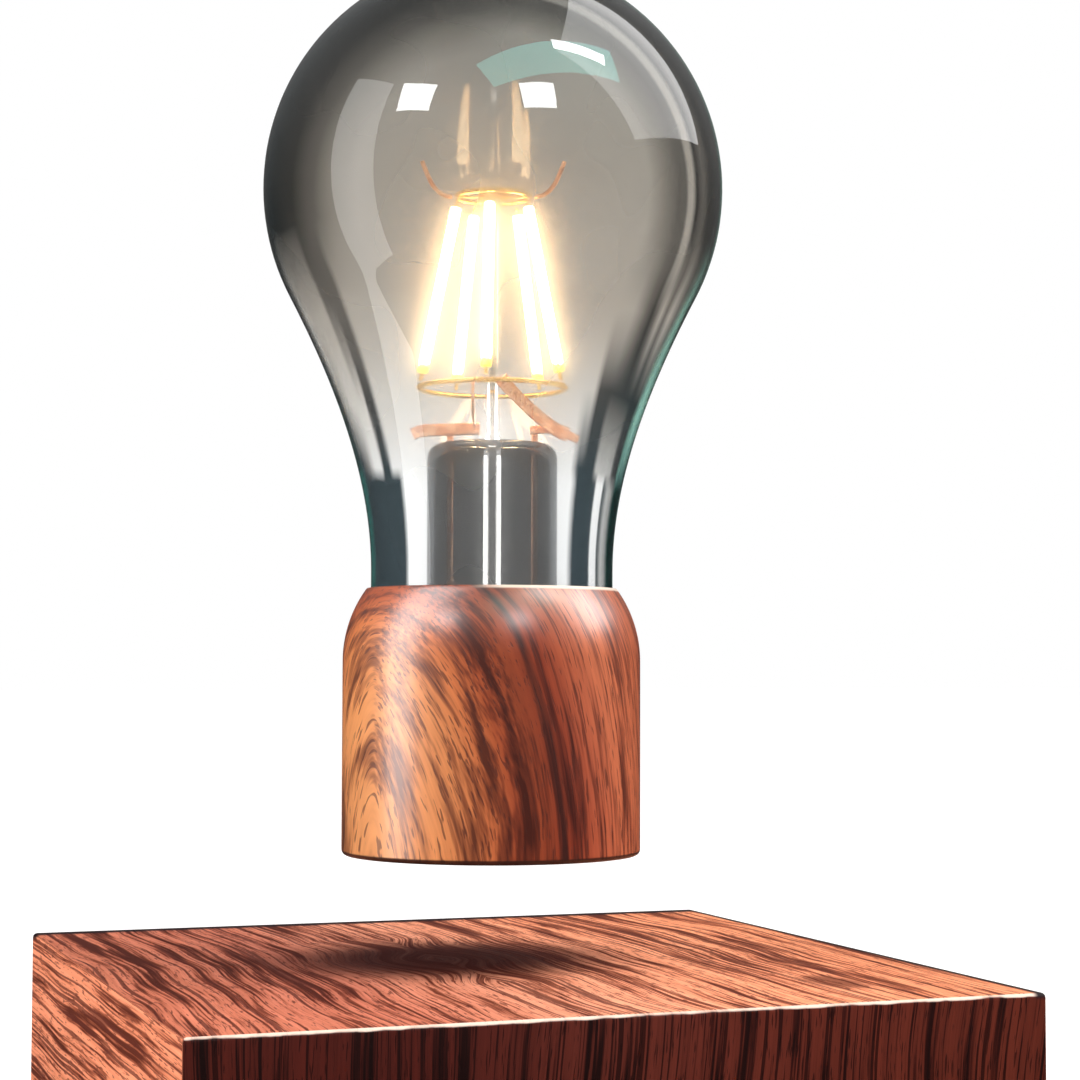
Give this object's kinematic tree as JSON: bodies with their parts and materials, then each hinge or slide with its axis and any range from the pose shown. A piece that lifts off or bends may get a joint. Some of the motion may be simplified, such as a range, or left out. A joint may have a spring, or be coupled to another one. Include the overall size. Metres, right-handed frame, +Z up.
{
  "type": "table lamp",
  "caption": "Table lamp: a smoky glass filament bulb in a turned wooden cap floats and turns freely above a square wooden base block with a power inlet at the back.",
  "frame": {"origin": "centre of the lamp's footprint, on the surface that its feet stand on", "axes": "+Z up along the lamp's axis, -Y towards the front of the base, +Y towards the back with the power inlet"},
  "size_m": [0.102, 0.102, 0.1565],
  "materials": {
    "base_wood": "satin",
    "cap_wood": "satin",
    "dark_plastic": "matte",
    "pale_plastic": "matte",
    "rubber": "matte",
    "steel": "satin",
    "ferrite": "matte",
    "magnet": "polished",
    "copper": "satin",
    "brass_wire": "satin",
    "circuit_board": "satin",
    "chip": "matte",
    "smoky_glass": "gloss",
    "clear_glass": "gloss",
    "phosphor": "satin"
  },
  "bodies": {
    "base": {"base_housing": "base_wood", "base_plate": "dark_plastic", "base_screw_1": "steel", "base_screw_2": "steel", "base_screw_3": "steel", "base_screw_4": "steel", "coil_bobbin_1": "pale_plastic", "coil_bobbin_2": "pale_plastic", "coil_bobbin_3": "pale_plastic", "coil_bobbin_4": "pale_plastic", "coil_core_1": "steel", "coil_core_2": "steel", "coil_core_3": "steel", "coil_core_4": "steel", "coil_winding_1": "copper", "coil_winding_2": "copper", "coil_winding_3": "copper", "coil_winding_4": "copper", "driver_chip_1": "chip", "driver_chip_2": "chip", "ferrite_sheet": "ferrite", "filter_capacitor_1": "magnet", "filter_capacitor_2": "magnet", "foot_1": "rubber", "foot_2": "rubber", "foot_3": "rubber", "foot_4": "rubber", "hall_sensor_x": "chip", "hall_sensor_y": "chip", "hall_sensor_z": "chip", "main_board": "circuit_board", "microcontroller": "chip", "power_inductor": "ferrite", "power_inlet": "dark_plastic", "ring_magnet": "ferrite", "transmitter_coil": "copper", "voltage_regulator": "chip"},
    "lift": {"levitation_magnet": "magnet"},
    "bulb": {"anchor_hook_1": "copper", "anchor_hook_2": "copper", "bulb_seat": "pale_plastic", "cap_cover": "dark_plastic", "filament_1": "phosphor", "filament_2": "phosphor", "filament_3": "phosphor", "filament_4": "phosphor", "filament_5": "phosphor", "glass_envelope": "smoky_glass", "glass_pillar": "clear_glass", "glass_stem": "clear_glass", "hub_ring": "brass_wire", "lead_wire_1": "copper", "lead_wire_2": "copper", "lower_ring": "brass_wire", "magnet_cup": "pale_plastic", "receiver_board": "circuit_board", "receiver_coil": "copper", "rectifier_chip": "chip", "smoothing_capacitor": "magnet", "wood_cap": "cap_wood"}
  },
  "joints": [
    {"name": "float_lift", "type": "slide", "parent": "base", "child": "lift", "axis": [0, 0, 1], "range_m": [-0.0133, 0.01], "stiffness_N_per_m": 60, "springref_m": 0.01515},
    {"name": "float_spin", "type": "hinge", "parent": "lift", "child": "bulb", "pos_m": [0, 0, 0.042], "axis": [0, 0, 1], "continuous": true}
  ]
}
